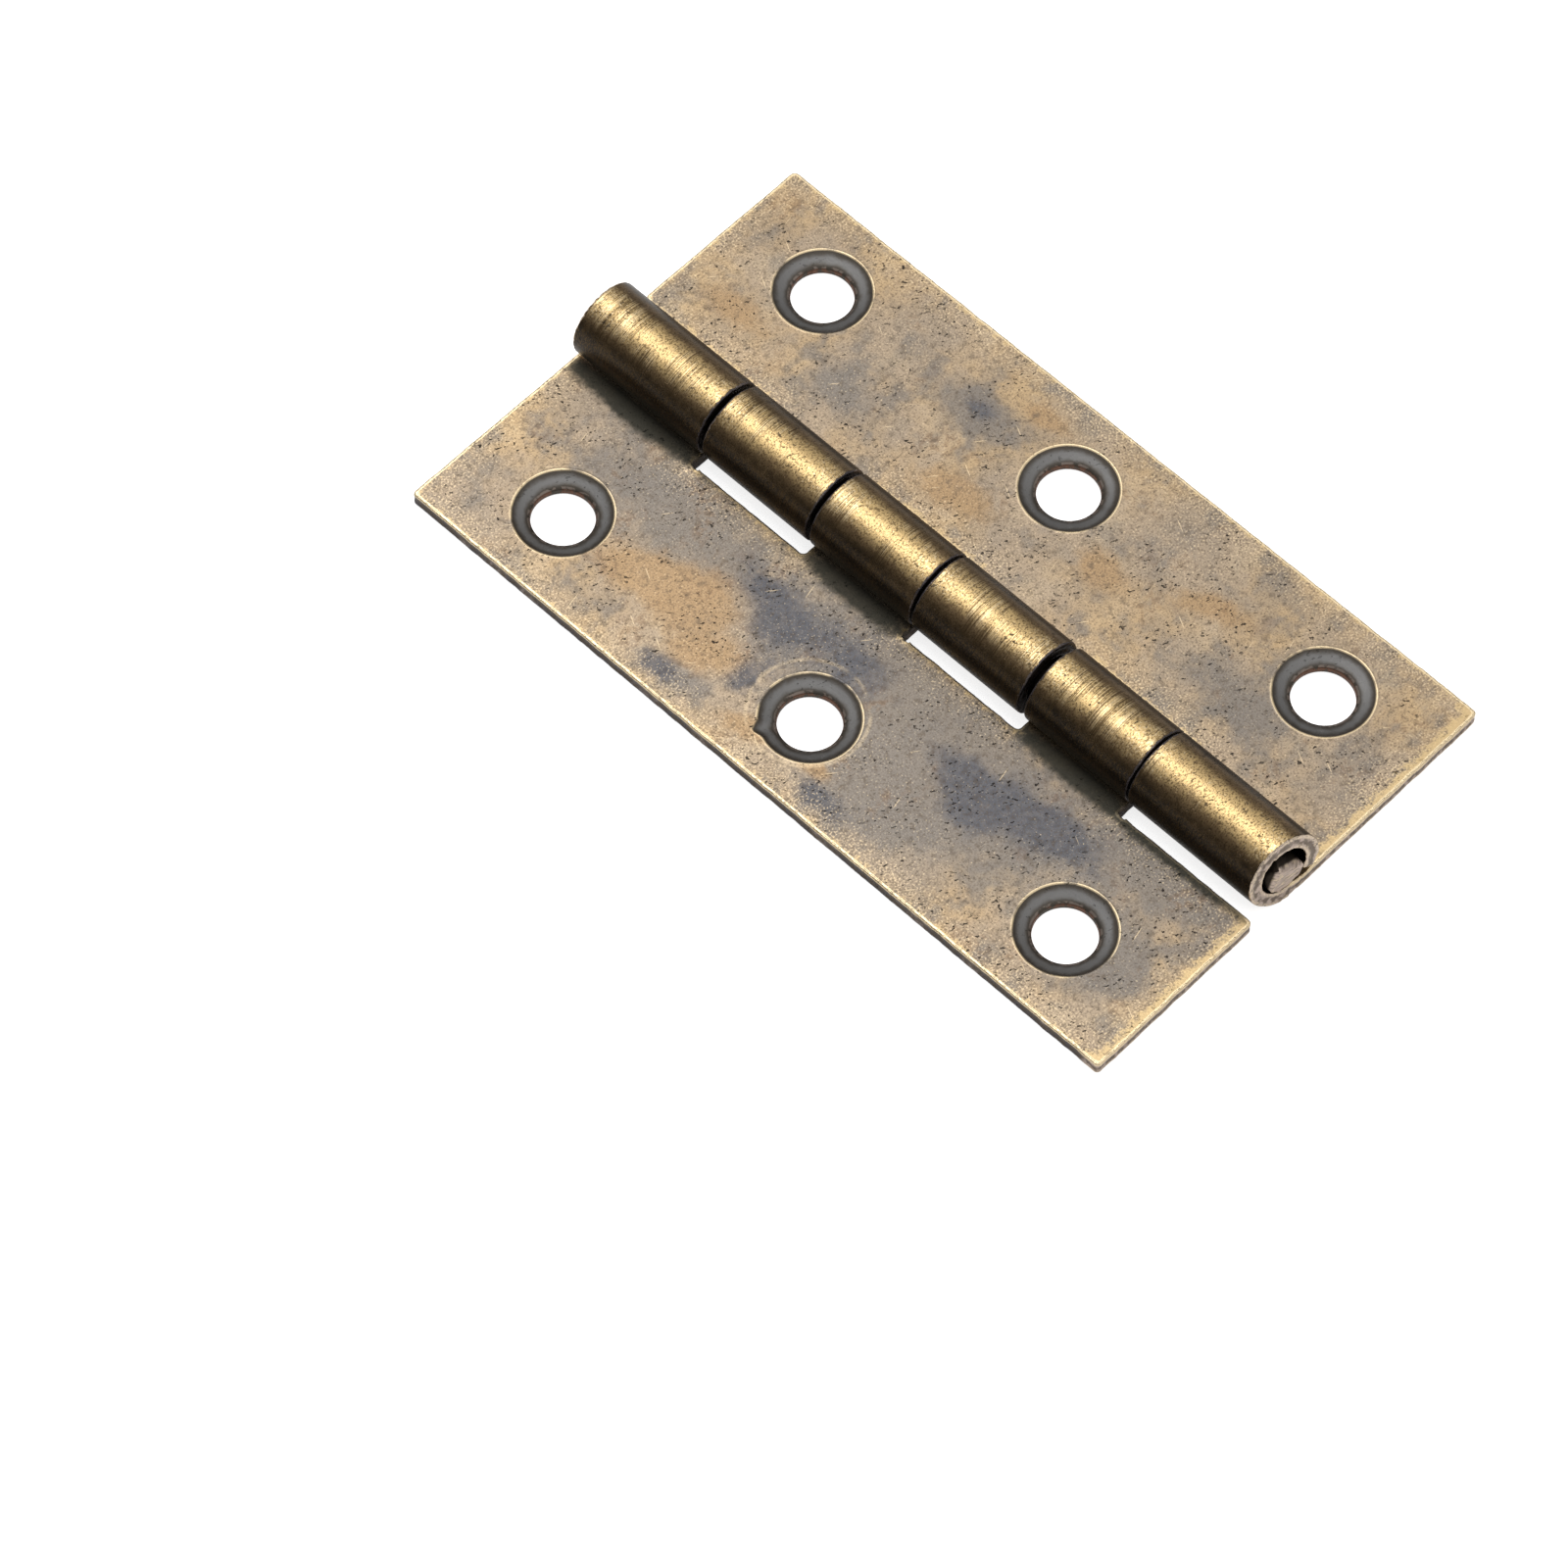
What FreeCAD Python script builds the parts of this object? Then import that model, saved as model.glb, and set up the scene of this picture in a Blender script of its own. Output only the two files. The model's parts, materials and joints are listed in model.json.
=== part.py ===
import FreeCAD, Part
import math
import os

import Sketcher

# Box hinge of rolled sheet steel, lying open and flat.
# Millimetres. The origin is on the underside, in the middle of the whole outline.
# +Y runs along the barrel, +X points to the right leaf, and +Z is up, to the barrel's side.

# Two points nearer than this are one point.
CLOSE = 1e-5

SIZES = [
    # Both leaves, and the sheet that they are stamped from
    ("leaf_length", 64.0),
    ("leaf_flat", 15.2),
    ("wall", 1.1),
    ("corner_radius", 0.35),
    ("edge_break", 0.12),
    # The pin, and the roll that the sheet makes round it
    ("pin_dia", 3.1),
    ("roll_slack", 0.35),
    ("pin_clearance", 0.05),
    ("seam", 0.15),
    # Where the knuckles meet, counted from the +Y end of the barrel
    ("end_knuckle", 12.3),
    ("right_knuckle", 10.2),
    ("left_knuckle", 9.65),
    ("first_gap", 0.35),
    ("second_gap", 0.35),
    ("third_gap", 0.2),
    ("fourth_gap", 0.6),
    ("fifth_gap", 0.14),
    # The room that each leaf leaves round the other one's knuckles
    ("left_relief", 0.45),
    ("right_relief", 1.1),
    ("relief_round", 0.35),
    # Countersunk screw holes
    ("hole_dia", 4.5),
    ("rim_dia", 7.1),
    ("hole_land", 0.5),
    ("hole_inset", 6.1),
    ("hole_pitch", 23.45),
    ("hole_count", 3),
    # Cut ends
    ("end_tilt", 11.8),
    ("end_turn", 42.0),
    ("pin_recess", 0.05),
    ("pin_turn", 30.0),
    ("ridge_offset", 0.75),
    ("ridge_slope", 14.0),
    ("ridge_fall", 50.0),
]

doc = FreeCAD.newDocument("box_hinge")
sheet = doc.addObject("Spreadsheet::Sheet", "sizes")
for row, (alias, number) in enumerate(SIZES, start=1):
    sheet.set(f"A{row}", alias)
    sheet.set(f"B{row}", str(number))
    sheet.setAlias(f"B{row}", alias)
doc.recompute()

# The roll is as large as the pin, its slack and the sheet make it. Its end stops just clear of
# the leaf, and the pin lies at the bottom of the roll.
BORE_RADIUS = "(sizes.pin_dia / 2 + sizes.roll_slack)"
ROLL_RADIUS = f"({BORE_RADIUS} + sizes.wall)"
SEAM_HEIGHT = "(sizes.wall + sizes.seam)"
PIN_HEIGHT = "(sizes.wall + sizes.pin_clearance + sizes.pin_dia / 2)"

LEFT_REACH = f"({ROLL_RADIUS} + sizes.left_relief)"
RIGHT_REACH = f"({ROLL_RADIUS} + sizes.right_relief)"
AXIS_X = "((sizes.left_relief - sizes.right_relief) / 2)"

# The faces of the knuckles on either side of each of the five joints, along Y.
JOINTS = ["(sizes.leaf_length / 2 - sizes.end_knuckle)"]
for step in ("right_knuckle", "left_knuckle", "right_knuckle", "left_knuckle"):
    JOINTS.append(f"({JOINTS[-1]} - sizes.{step})")
GAPS = ["first_gap", "second_gap", "third_gap", "fourth_gap", "fifth_gap"]
ABOVE = [f"({joint} + sizes.{gap} / 2)" for joint, gap in zip(JOINTS, GAPS)]
BELOW = [f"({joint} - sizes.{gap} / 2)" for joint, gap in zip(JOINTS, GAPS)]


def number_of(expression):
    """The plain number that an expression on the sheet's sizes gives."""
    value = sheet.evalExpression(expression)
    return float(getattr(value, "Value", value))


def new_sketch(body, name, role):
    """An empty sketch on one of the body's own origin planes."""
    sketch = body.newObject("Sketcher::SketchObject", name)
    plane = next(item for item in body.Origin.OriginFeatures if item.Role == role)
    sketch.AttachmentSupport = [(plane, "")]
    sketch.MapMode = "FlatFace"
    return sketch


def bind(sketch, kind, *where_and_size):
    """A constraint whose size follows an expression; an angle is given in degrees."""
    *where, expression = where_and_size
    size = number_of(expression)
    if kind == "Angle":
        size = math.radians(size)
    index = sketch.addConstraint(Sketcher.Constraint(kind, *where, size))
    unit = "deg" if kind == "Angle" else "mm"
    sketch.setExpression(f"Constraints[{index}]", f"({expression}) * 1 {unit}")


def fix(sketch, kind, *where):
    """A constraint that needs no size."""
    sketch.addConstraint(Sketcher.Constraint(kind, *where))


def add_line(sketch, start, end):
    return sketch.addGeometry(Part.LineSegment(FreeCAD.Vector(*start, 0), FreeCAD.Vector(*end, 0)))


def add_arc(sketch, centre, radius, start_angle, end_angle):
    """An arc from one angle to the next, in degrees, turning left."""
    circle = Part.Circle(FreeCAD.Vector(*centre, 0), FreeCAD.Vector(0, 0, 1), radius)
    arc = Part.ArcOfCircle(circle, math.radians(start_angle), math.radians(end_angle))
    return sketch.addGeometry(arc)


def add_polygon(sketch, corners):
    """Lines from each corner to the next and back to the first, joined at their ends."""
    following = corners[1:] + corners[:1]
    lines = [add_line(sketch, start, end) for start, end in zip(corners, following)]
    for line, after in zip(lines, lines[1:] + lines[:1]):
        fix(sketch, "Coincident", line, 2, after, 1)
    return lines


def add_rectangle(sketch, left, right, low, high):
    """A rectangle whose four sides follow four expressions."""
    x0, x1, y0, y1 = (number_of(side) for side in (left, right, low, high))
    corners = [(x0, y0), (x1, y0), (x1, y1), (x0, y1)]
    lines = add_polygon(sketch, corners)
    for k, line in enumerate(lines):
        fix(sketch, "Vertical" if k % 2 else "Horizontal", line)
    bind(sketch, "DistanceX", lines[0], 1, left)
    bind(sketch, "DistanceX", lines[0], 2, right)
    bind(sketch, "DistanceY", lines[0], 1, low)
    bind(sketch, "DistanceY", lines[2], 1, high)


def section_sketch(body, reach):
    """The sheet seen from its end: the flat leaf, and the roll that closes on its upper side."""
    sketch = new_sketch(body, "section", "XZ_Plane")
    free_edge = f"({reach} + sizes.leaf_flat)"
    wall = number_of("sizes.wall")
    roll = number_of(ROLL_RADIUS)
    bore = number_of(BORE_RADIUS)
    edge = number_of(free_edge)
    turned = math.asin((number_of(SEAM_HEIGHT) - roll) / roll)
    cut_ends = [(r * math.cos(turned), roll + r * math.sin(turned)) for r in (roll, bore)]

    underside = add_line(sketch, (edge, 0), (0, 0))
    outer_roll = add_arc(sketch, (0, roll), roll, math.degrees(turned), 270)
    cut_end = add_line(sketch, *cut_ends)
    inner_roll = add_arc(sketch, (0, roll), bore, math.degrees(turned), 270)
    upper_side = add_line(sketch, (0, wall), (edge, wall))
    end_line = add_line(sketch, (edge, wall), (edge, 0))

    fix(sketch, "Horizontal", underside)
    fix(sketch, "PointOnObject", underside, 1, -1)
    fix(sketch, "Tangent", underside, 2, outer_roll, 2)
    fix(sketch, "PointOnObject", outer_roll, 3, -2)
    fix(sketch, "Coincident", outer_roll, 1, cut_end, 1)
    fix(sketch, "Coincident", cut_end, 2, inner_roll, 1)
    fix(sketch, "Coincident", inner_roll, 3, outer_roll, 3)
    fix(sketch, "PointOnObject", outer_roll, 3, cut_end)
    fix(sketch, "Tangent", inner_roll, 2, upper_side, 1)
    fix(sketch, "Horizontal", upper_side)
    fix(sketch, "Coincident", upper_side, 2, end_line, 1)
    fix(sketch, "Vertical", end_line)
    fix(sketch, "Coincident", end_line, 2, underside, 1)
    bind(sketch, "Radius", outer_roll, ROLL_RADIUS)
    bind(sketch, "Radius", inner_roll, BORE_RADIUS)
    bind(sketch, "DistanceY", cut_end, 1, SEAM_HEIGHT)
    bind(sketch, "DistanceX", underside, 1, free_edge)
    return sketch


def add_pad(body, name, sketch, length):
    """A pad that runs half of its length to each side of its sketch."""
    pad = body.newObject("PartDesign::Pad", name)
    pad.Profile = sketch
    pad.SideType = "Symmetric"
    pad.setExpression("Length", f"{length} * 1 mm")
    doc.recompute()
    return pad


def add_pocket(body, name, sketch, upward=False, both_ways=False):
    """A pocket through everything; one that takes nothing away is an error."""
    before = body.Tip.Shape.Volume
    pocket = body.newObject("PartDesign::Pocket", name)
    pocket.Profile = sketch
    pocket.Type = "ThroughAll"
    pocket.SideType = "Symmetric" if both_ways else "One side"
    pocket.Reversed = upward
    doc.recompute()
    if not pocket.Shape.Volume < before:
        raise RuntimeError(f"{name} takes nothing away")
    return pocket


def upright_edges(shape, x_position):
    """Names of the sheet's upright edges at one distance from the pin's axis."""
    wall = number_of("sizes.wall")
    names = []
    for index, edge in enumerate(shape.Edges, start=1):
        low, high = edge.Vertexes[0].Point, edge.Vertexes[-1].Point
        stands = abs(low.x - high.x) < CLOSE and abs(low.y - high.y) < CLOSE
        if stands and abs(low.x - x_position) < CLOSE and abs(abs(low.z - high.z) - wall) < CLOSE:
            names.append(f"Edge{index}")
    return names


def outline_edges(shape, reach):
    """Names of the straight edges round the flat leaf, on both of its sides."""
    wall = number_of("sizes.wall")
    edge_x = number_of(f"({reach} + sizes.leaf_flat)")
    half = number_of("sizes.leaf_length / 2")
    names = []
    for index, edge in enumerate(shape.Edges, start=1):
        low, high = edge.Vertexes[0].Point, edge.Vertexes[-1].Point
        level = abs(low.z - high.z) < CLOSE and min(abs(low.z), abs(low.z - wall)) < CLOSE
        along_edge = abs(low.x - edge_x) < CLOSE and abs(high.x - edge_x) < CLOSE
        ends = abs(abs(low.y) - half) < CLOSE and abs(low.y - high.y) < CLOSE
        across_end = ends and max(low.x, high.x) > number_of(ROLL_RADIUS)
        if level and (along_edge or across_end):
            names.append(f"Edge{index}")
    return names


def knuckle_edges(shape):
    """Names of the round outer edges at the ends of the knuckles."""
    roll = number_of(ROLL_RADIUS)
    inside = number_of("sizes.leaf_length / 2 - sizes.edge_break") - CLOSE
    names = []
    for index, edge in enumerate(shape.Edges, start=1):
        if isinstance(edge.Curve, Part.Circle):
            faces_along = abs(edge.Curve.Axis.y) > 1 - CLOSE
            outer = abs(edge.Curve.Radius - roll) < CLOSE
            if faces_along and outer and abs(edge.Curve.Center.y) < inside:
                names.append(f"Edge{index}")
    return names


def dress_edges(body, kind, name, edge_names, size):
    """A fillet or a chamfer on the named edges of what the body has so far."""
    base = body.Tip
    feature = body.newObject(f"PartDesign::{kind}", name)
    feature.Base = (base, edge_names)
    feature.setExpression("Radius" if kind == "Fillet" else "Size", f"{size} * 1 mm")
    doc.recompute()


def screw_holes(body, reach):
    """A row of countersunk holes along the leaf, from its upper side."""
    sketch = new_sketch(body, "hole_place", "XY_Plane")
    sketch.setExpression("AttachmentOffset.Base.z", "sizes.wall * 1 mm")
    across = f"({reach} + sizes.leaf_flat - sizes.hole_inset)"
    along = "(sizes.hole_pitch * (sizes.hole_count - 1) / 2)"
    centre = FreeCAD.Vector(number_of(across), number_of(along), 0)
    radius = number_of("sizes.hole_dia / 2")
    circle = sketch.addGeometry(Part.Circle(centre, FreeCAD.Vector(0, 0, 1), radius))
    bind(sketch, "DistanceX", circle, 3, across)
    bind(sketch, "DistanceY", circle, 3, along)
    bind(sketch, "Diameter", circle, "sizes.hole_dia")
    doc.recompute()

    hole = body.newObject("PartDesign::Hole", "screw_hole")
    hole.Profile = sketch
    hole.DepthType = "ThroughAll"
    hole.HoleCutType = "Countersink"
    hole.setExpression("Diameter", "sizes.hole_dia * 1 mm")
    hole.setExpression("HoleCutDiameter", "sizes.rim_dia * 1 mm")
    widening = "(sizes.rim_dia - sizes.hole_dia) / 2"
    depth = "(sizes.wall - sizes.hole_land)"
    hole.setExpression("HoleCutCountersinkAngle", f"2 * atan({widening} / {depth})")
    doc.recompute()

    row = body.newObject("PartDesign::LinearPattern", "hole_row")
    row.Originals = [hole]
    row.Direction = (sketch, ["V_Axis"])
    row.Reversed = True
    row.setExpression("Length", "sizes.hole_pitch * (sizes.hole_count - 1) * 1 mm")
    row.setExpression("Occurrences", "sizes.hole_count")
    body.Tip = row
    doc.recompute()


def lean_end(body):
    """The last knuckle's free end leans back from the roll's lowest point."""
    sketch = new_sketch(body, "end_plane", "XZ_Plane")
    turn = math.radians(number_of("sizes.end_turn"))
    level_line = FreeCAD.Vector(-math.cos(turn), -math.sin(turn), 0)
    tilt = FreeCAD.Rotation(level_line, number_of("sizes.end_tilt"))
    sketch.AttachmentOffset = FreeCAD.Placement(FreeCAD.Vector(), tilt)
    sketch.setExpression("AttachmentOffset.Base.z", "sizes.leaf_length / 2 * 1 mm")
    sketch.setExpression("AttachmentOffset.Rotation.Angle", "sizes.end_tilt * 1 deg")
    side = "sizes.leaf_flat"
    add_rectangle(sketch, f"-{side}", side, f"-{side}", side)
    add_pocket(body, "leaning_end", sketch, upward=True)


def make_leaf(name, reach, reliefs, half_turn, leaning_end):
    """One leaf with its knuckles, made with the leaf towards +X and turned to its side.

    reliefs are the stretches along the barrel that belong to the other leaf's knuckles.
    """
    body = doc.addObject("PartDesign::Body", name)
    body.Label = name
    add_pad(body, "rolled_sheet", section_sketch(body, reach), "sizes.leaf_length")

    relief_sketch = new_sketch(body, "relief_outline", "XY_Plane")
    for low, high in reliefs:
        add_rectangle(relief_sketch, f"-{reach}", reach, low, high)
    add_pocket(body, "reliefs", relief_sketch, upward=True)

    relief_corners = upright_edges(body.Tip.Shape, number_of(reach))
    dress_edges(body, "Fillet", "relief_corners", relief_corners, "sizes.relief_round")
    free_corners = upright_edges(body.Tip.Shape, number_of(f"({reach} + sizes.leaf_flat)"))
    dress_edges(body, "Fillet", "free_corners", free_corners, "sizes.corner_radius")
    outline = outline_edges(body.Tip.Shape, reach)
    dress_edges(body, "Chamfer", "worn_outline", outline, "sizes.edge_break")
    rolled = knuckle_edges(body.Tip.Shape)
    dress_edges(body, "Chamfer", "worn_knuckles", rolled, "sizes.edge_break")
    if leaning_end:
        lean_end(body)
    screw_holes(body, reach)

    turned = FreeCAD.Rotation(FreeCAD.Vector(0, 0, 1), 180 if half_turn else 0)
    body.Placement = FreeCAD.Placement(FreeCAD.Vector(), turned)
    body.setExpression("Placement.Base.x", f"{AXIS_X} * 1 mm")
    return body


def make_pin():
    """The wire through the knuckles, cropped at both ends to an uneven wedge."""
    body = doc.addObject("PartDesign::Body", "hinge_pin")
    body.Label = "hinge_pin"
    length = "(sizes.leaf_length - 2 * sizes.pin_recess)"
    round_sketch = new_sketch(body, "wire_section", "XZ_Plane")
    centre = FreeCAD.Vector(0, number_of(PIN_HEIGHT), 0)
    radius = number_of("sizes.pin_dia / 2")
    circle = round_sketch.addGeometry(Part.Circle(centre, FreeCAD.Vector(0, 0, 1), radius))
    fix(round_sketch, "PointOnObject", circle, 3, -2)
    bind(round_sketch, "DistanceY", circle, 3, PIN_HEIGHT)
    bind(round_sketch, "Diameter", circle, "sizes.pin_dia")
    add_pad(body, "wire", round_sketch, length)

    # Seen across the wedge: Y to the right, and the side that falls away steeply on top.
    side = new_sketch(body, "wedge_side", "YZ_Plane")
    turn = FreeCAD.Rotation(FreeCAD.Vector(1, 0, 0), number_of("sizes.pin_turn"))
    side.AttachmentOffset = FreeCAD.Placement(FreeCAD.Vector(), turn)
    side.setExpression("AttachmentOffset.Base.y", f"{PIN_HEIGHT} * 1 mm")
    side.setExpression("AttachmentOffset.Rotation.Angle", "sizes.pin_turn * 1 deg")
    end = number_of(f"-{length} / 2")
    clear = number_of("sizes.pin_dia")
    ridge = number_of("sizes.ridge_offset")
    shallow = (clear + ridge) * math.tan(math.radians(number_of("sizes.ridge_slope")))
    steep = (clear - ridge) * math.tan(math.radians(number_of("sizes.ridge_fall")))
    corners = [(end - clear, -clear), (end + shallow, -clear), (end, ridge), (end + steep, clear),
               (end - clear, clear)]
    below, flat_side, steep_side, above, outside = add_polygon(side, corners)
    fix(side, "Horizontal", below)
    fix(side, "Horizontal", above)
    fix(side, "Vertical", outside)
    bind(side, "DistanceX", steep_side, 1, f"-{length} / 2")
    bind(side, "DistanceY", steep_side, 1, "sizes.ridge_offset")
    bind(side, "Angle", flat_side, "90 + sizes.ridge_slope")
    bind(side, "Angle", steep_side, "90 - sizes.ridge_fall")
    bind(side, "DistanceX", below, 1, f"-{length} / 2 - sizes.pin_dia")
    bind(side, "DistanceY", below, 1, "-sizes.pin_dia")
    bind(side, "DistanceY", above, 1, "sizes.pin_dia")
    wedge = add_pocket(body, "cropped_end", side, both_ways=True)

    both = body.newObject("PartDesign::Mirrored", "cropped_ends")
    both.Originals = [wedge]
    middle = next(item for item in body.Origin.OriginFeatures if item.Role == "XZ_Plane")
    both.MirrorPlane = (middle, [""])
    body.Tip = both
    body.setExpression("Placement.Base.x", f"{AXIS_X} * 1 mm")
    doc.recompute()
    return body


right_reliefs = [(BELOW[0], "sizes.leaf_length"), (BELOW[2], ABOVE[1]), (BELOW[4], ABOVE[3])]
left_reliefs = [(f"-{ABOVE[4]}", "sizes.leaf_length"), (f"-{ABOVE[2]}", f"-{BELOW[3]}"),
                (f"-{ABOVE[0]}", f"-{BELOW[1]}")]
pieces = [
    make_leaf("left_leaf", LEFT_REACH, left_reliefs, half_turn=True, leaning_end=False),
    make_leaf("right_leaf", RIGHT_REACH, right_reliefs, half_turn=False, leaning_end=True),
    make_pin(),
]

doc.recompute()
for item in doc.Objects:
    if "Invalid" in item.State or "Error" in item.State:
        raise RuntimeError(f"{item.Label} failed")
for piece in pieces:
    if piece.Shape.isNull() or not piece.Shape.isValid() or len(piece.Shape.Solids) != 1:
        raise RuntimeError(f"{piece.Label} has no sound solid")

os.makedirs("parts", exist_ok=True)
for piece in pieces:
    piece.Shape.exportStep(f"parts/{piece.Label}.step")
    print(piece.Label, "volume", round(piece.Shape.Volume, 2))
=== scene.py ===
import json

import bmesh
import bpy
import numpy as np
from mathutils import Matrix, Vector
from mathutils.geometry import delaunay_2d_cdt


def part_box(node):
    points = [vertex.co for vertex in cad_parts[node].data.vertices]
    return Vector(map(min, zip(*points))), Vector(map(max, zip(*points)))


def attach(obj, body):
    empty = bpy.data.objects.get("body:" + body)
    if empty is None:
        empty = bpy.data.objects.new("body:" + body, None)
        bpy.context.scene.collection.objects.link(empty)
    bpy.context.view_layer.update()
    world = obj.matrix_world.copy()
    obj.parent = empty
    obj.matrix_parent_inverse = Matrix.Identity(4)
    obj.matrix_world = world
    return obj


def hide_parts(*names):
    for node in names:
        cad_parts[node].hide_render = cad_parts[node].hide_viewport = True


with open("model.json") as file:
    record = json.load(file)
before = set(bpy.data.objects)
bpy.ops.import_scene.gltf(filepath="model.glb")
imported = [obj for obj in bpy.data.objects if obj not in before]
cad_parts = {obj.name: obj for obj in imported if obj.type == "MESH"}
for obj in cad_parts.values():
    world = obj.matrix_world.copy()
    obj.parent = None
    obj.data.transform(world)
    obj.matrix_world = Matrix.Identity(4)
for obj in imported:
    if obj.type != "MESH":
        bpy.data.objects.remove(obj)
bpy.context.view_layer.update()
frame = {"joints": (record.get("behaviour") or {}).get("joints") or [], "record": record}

# Millimetres in the shape functions, metres in the meshes
MM = 0.001
swing = frame["joints"][0]
mounts = {mount["name"]: mount for mount in frame["record"]["mounts"]}
leaf_low, leaf_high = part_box("left_leaf")
free_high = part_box("right_leaf")[1]
pin_low, pin_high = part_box("hinge_pin")

AXIS_X = swing["pos_m"][0] / MM
ROLL_RADIUS = swing["pos_m"][2] / MM
HALF_LENGTH = leaf_high.y / MM
LEFT_FREE = AXIS_X - leaf_low.x / MM
RIGHT_FREE = free_high.x / MM - AXIS_X
LEFT_HOLES = AXIS_X - mounts["left_middle_screw"]["pos_m"][0] / MM
RIGHT_HOLES = mounts["right_middle_screw"]["pos_m"][0] / MM - AXIS_X
HOLE_PITCH = mounts["left_end_screws"]["dims"]["spacing_y_mm"] / 2
HOLE_RADIUS = mounts["left_middle_screw"]["dims"]["r_mm"]
HOLE_LAND = mounts["left_middle_screw"]["dims"]["length_mm"]
PIN_RADIUS = (pin_high.z - pin_low.z) / MM / 2
PIN_HEIGHT = (pin_high.z + pin_low.z) / MM / 2
PIN_END = pin_high.y / MM

# The sheet and the way it is rolled
WALL = 1.1
RIM_RADIUS = 3.55
SEAM_HEIGHT = WALL + 0.15
LEFT_REACH = ROLL_RADIUS + 0.45
RIGHT_REACH = ROLL_RADIUS + 1.1
CORNER_RADIUS = 0.35
RELIEF_ROUND = 0.35
ROLL_CORNER = 0.2
EDGE_ROUND = 0.13
SUPPORT = 0.07

# Each slot of the left leaf starts a little wider, where the punch came down twice
STEP_DEPTH = 0.15
STEP_LENGTH = 0.6
STEP_ROUND = 0.07

# The nick in the rim of the left leaf's middle hole
NICK_WAY = np.radians(-32.5)
NICK_DEPTH = 0.5
NICK_HALF_ANGLE = 0.19

# The raised lip round each countersink, and the rounding at its hole's lower edge
LIP_WIDTH = 0.16
FOOT_WIDTH = 0.09

# How far the sheared edge wanders, and the ripple in the upper side
EDGE_WAVE = 0.010
EDGE_TREMOR = 0.006
EDGE_SET_BACK = 0.01
RIPPLE = 0.003
FINE_RIPPLE = 0.0015

# The ragged ends of the barrel, and how the one at -Y leans by its height and its width
RAG_DEPTH = 0.05
RAG_REACH = 0.3
RAG_SPAN = 1.5
LEAN_BY_HEIGHT = 0.155
LEAN_BY_WIDTH = 0.14
LEAN_REACH = 6.0

# The burr at each slot of the left leaf
BURR_HEIGHT = 0.16
BURR_WIDTH = 0.3
BURR_OUT = 0.1
BURR_ALONG = 0.15

# The cropped wire lies at the bottom of the roll
WIRE_RADIUS = PIN_RADIUS - 0.07
WIRE_HEIGHT = PIN_HEIGHT - 0.07
RIDGE_TURN = 30
RIDGE_OFFSET = 0.76
RIDGE_SLOPE = 1.0
RIDGE_FALL = 66
FACE_LEAN = 0.11
SIDE_TURN = np.radians(20)
SIDE_OFFSET = 1.12
FACE_TEAR = 0.02
FACE_BREAK = 0.05
FACE_SHOULDER = 0.15

# The faint ring round the left leaf's middle hole
HALO_RADIUS = 4.22

# How finely the surfaces are drawn
OUTLINE_SPACING = 0.2
FLAT_SPACING = 0.4
LENGTH_SPACING = 0.41
LENGTH_START = 0.31
ROLL_COLUMNS = 72
HOLE_POINTS = 108
CORNER_POINTS = 7
WIRE_POINTS = 64
WIRE_RINGS = 17
EDGE_CLEARANCE = 0.09
HOLE_CLEARANCE = 0.12
TIGHT_INSET = 0.4
MERGE_METRES = 2e-6

# The faces of the knuckles at the five joints, along the barrel from its +Y end
JOINTS = np.array([19.7, 9.5, -0.15, -10.35, -20.0])
GAPS = np.array([0.35, 0.35, 0.2, 0.6, 0.14])
UPPER_FACES = JOINTS + GAPS / 2
LOWER_FACES = JOINTS - GAPS / 2

# The roll runs from under the pin, over it, and down to just above the leaf
MID_ROLL = ROLL_RADIUS - WALL / 2
ROLL_STOP = np.arcsin((SEAM_HEIGHT - ROLL_RADIUS) / ROLL_RADIUS)
ROLL_ARC = MID_ROLL * (1.5 * np.pi - ROLL_STOP)


def waves(a, b, size, seed, count=24):
    """Smooth noise of about unit height: a sum of plane waves of random heading and phase."""
    random = np.random.default_rng(seed)
    heading = random.uniform(0, 2 * np.pi, count)
    number = 2 * np.pi / size * random.uniform(0.6, 1.6, count)
    phase = random.uniform(0, 2 * np.pi, count)
    total = np.zeros(np.broadcast(a, b).shape)
    for k in range(count):
        total += np.sin(number[k] * (a * np.cos(heading[k]) + b * np.sin(heading[k])) + phase[k])
    return total / np.sqrt(count / 2)


def section(s, t):
    """Where a point of the sheet lies across the barrel, as x from the pin's axis and z.

    s runs along the middle of the sheet, positive on the flat leaf and negative round the roll,
    where the angle round the axis is three quarters of a turn plus s over the middle radius.
    t is 0 on the outer or lower side and 1 on the inner or upper side, so the distance from the
    axis is the roll's radius less t times the wall.
    """
    angle = 1.5 * np.pi + s / MID_ROLL
    distance = ROLL_RADIUS - t * WALL
    x = np.where(s >= 0, s, distance * np.cos(angle))
    z = np.where(s >= 0, t * WALL, ROLL_RADIUS + distance * np.sin(angle))
    return x, z


def rounded_path(corners, radii, spacing):
    """A closed path through square corners, each rounded with a quarter circle.

    Straight runs are divided evenly into steps about spacing long, and each quarter circle has
    CORNER_POINTS points: its middle less its radius times (ahead cos + back sin) of the turn.
    """
    corners = np.array(corners, float)
    points = []
    for k in range(len(corners)):
        back = corners[k - 1] - corners[k]
        ahead = corners[(k + 1) % len(corners)] - corners[k]
        back, ahead = back / np.linalg.norm(back), ahead / np.linalg.norm(ahead)
        start = corners[k] + radii[k] * back
        if points:
            points.append(straight_run(points[-1][-1], start, spacing))
        turn = np.linspace(0, np.pi / 2, CORNER_POINTS)[:, None]
        middle = start + radii[k] * ahead
        points.append(middle - radii[k] * (ahead * np.cos(turn) + back * np.sin(turn)))
    points.append(straight_run(points[-1][-1], points[0][0], spacing))
    return np.concatenate(points)


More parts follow.
